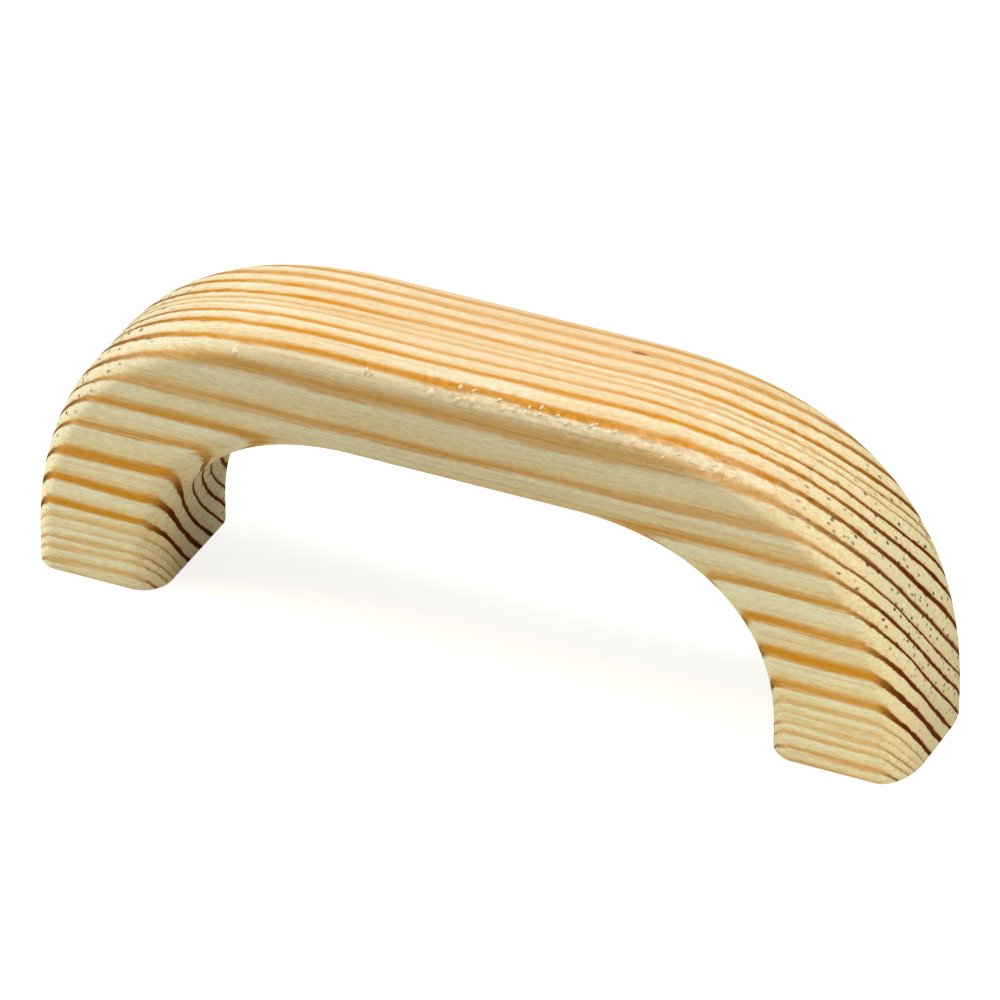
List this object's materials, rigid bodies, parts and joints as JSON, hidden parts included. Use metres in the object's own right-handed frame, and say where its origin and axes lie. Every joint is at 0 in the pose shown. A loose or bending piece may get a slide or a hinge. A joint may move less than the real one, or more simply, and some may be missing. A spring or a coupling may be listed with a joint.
{
  "type": "grab handle",
  "caption": "Bridge-shaped wooden grab handle with rounded long edges, two flat feet and a threaded metal insert in each foot for screws from behind.",
  "frame": {"origin": "middle of the mounting plane, halfway between the two feet", "axes": "+X along the grip, -Y towards the front, +Z away from the surface that the handle is fixed to"},
  "size_m": [0.1774, 0.0324, 0.0633],
  "materials": {
    "pine": "satin, sanded bare pine",
    "insert_brass": "turned"
  },
  "bodies": {
    "root": {"handle_body": "pine", "threaded_insert_left": "insert_brass", "threaded_insert_right": "insert_brass"}
  },
  "joints": []
}
